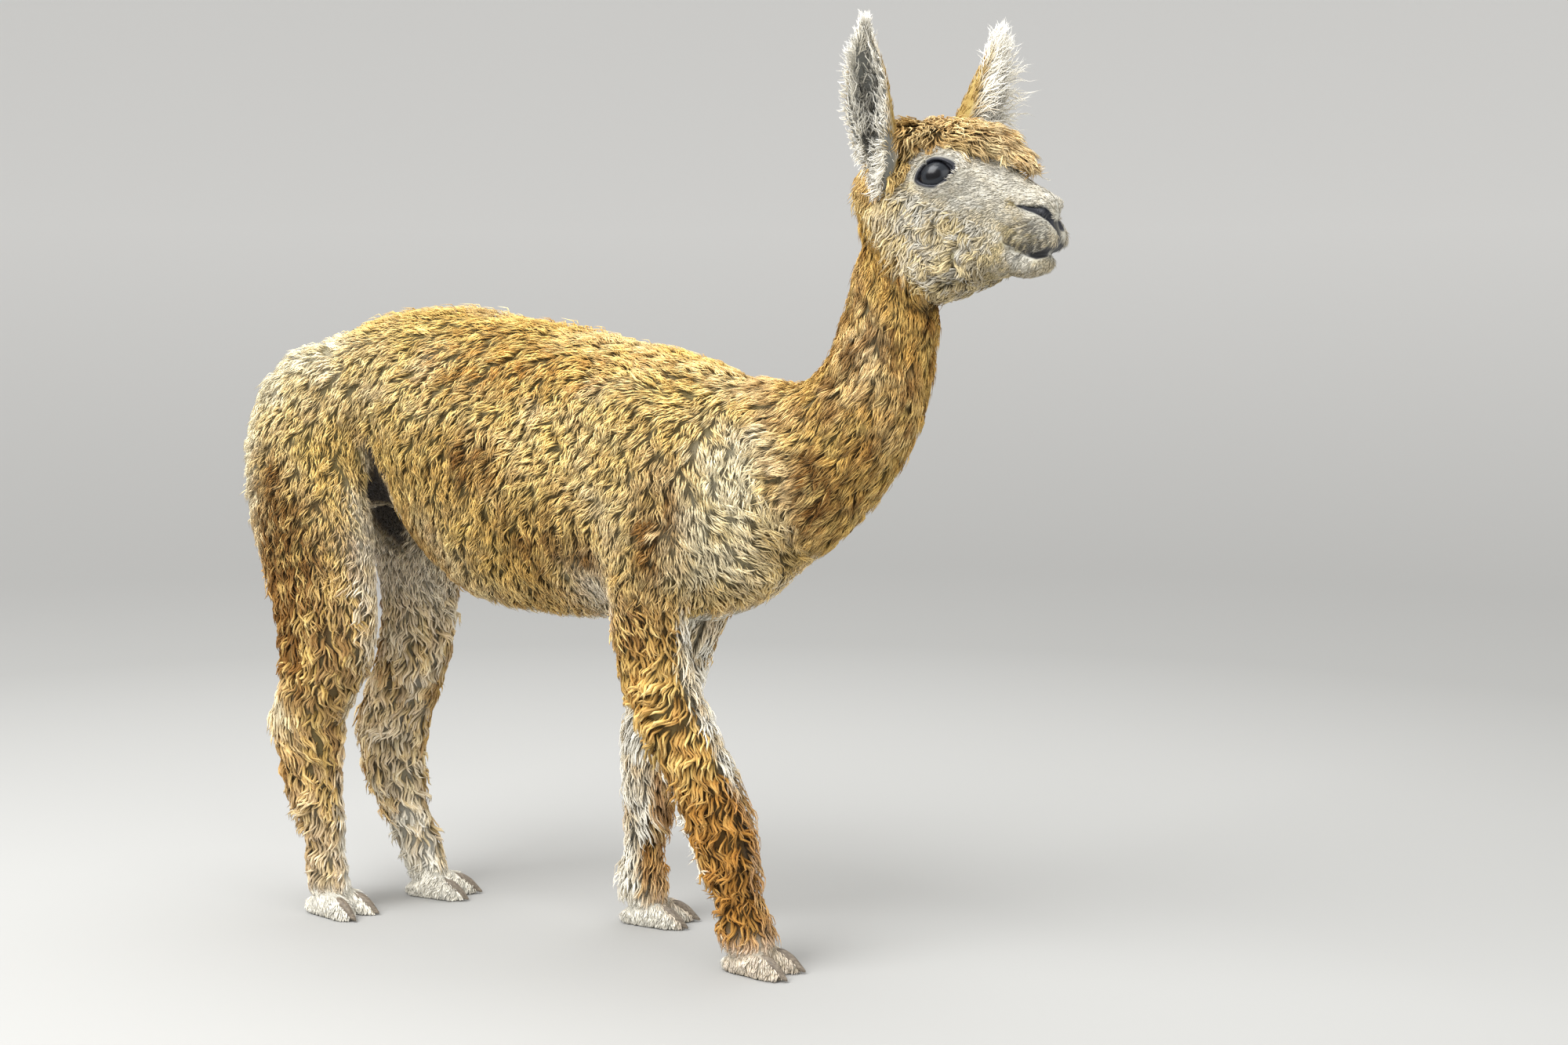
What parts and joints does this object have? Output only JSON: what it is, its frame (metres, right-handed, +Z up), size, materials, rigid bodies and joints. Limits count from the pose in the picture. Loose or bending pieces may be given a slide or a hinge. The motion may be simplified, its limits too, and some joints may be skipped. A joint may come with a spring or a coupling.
{
  "type": "alpaca",
  "caption": "Still, life-size standing alpaca with a newly shorn body and neck, woolly legs, a topknot falling over the brow and upright ears, resting on its padded feet.",
  "frame": {"origin": "on the floor, under the middle of the box round the whole animal", "axes": "+X the way the animal faces, +Y its left side, +Z up"},
  "size_m": [1.33, 0.3158, 1.281],
  "materials": {
    "fleece": "dense golden wool",
    "face": "short pale hair",
    "eye": "wet gloss",
    "nail": "dull horn"
  },
  "bodies": {
    "root": {"trunk": "fleece", "neck": "fleece", "head": "face", "ear_left": "face", "ear_right": "face", "eye_left": "eye", "eye_right": "eye", "tail": "fleece", "foreleg_left": "fleece", "foreleg_right": "fleece", "hindleg_left": "fleece", "hindleg_right": "fleece", "nail_foreleg_left_left": "nail", "nail_foreleg_left_right": "nail", "nail_foreleg_right_left": "nail", "nail_foreleg_right_right": "nail", "nail_hindleg_left_left": "nail", "nail_hindleg_left_right": "nail", "nail_hindleg_right_left": "nail", "nail_hindleg_right_right": "nail"}
  },
  "joints": []
}
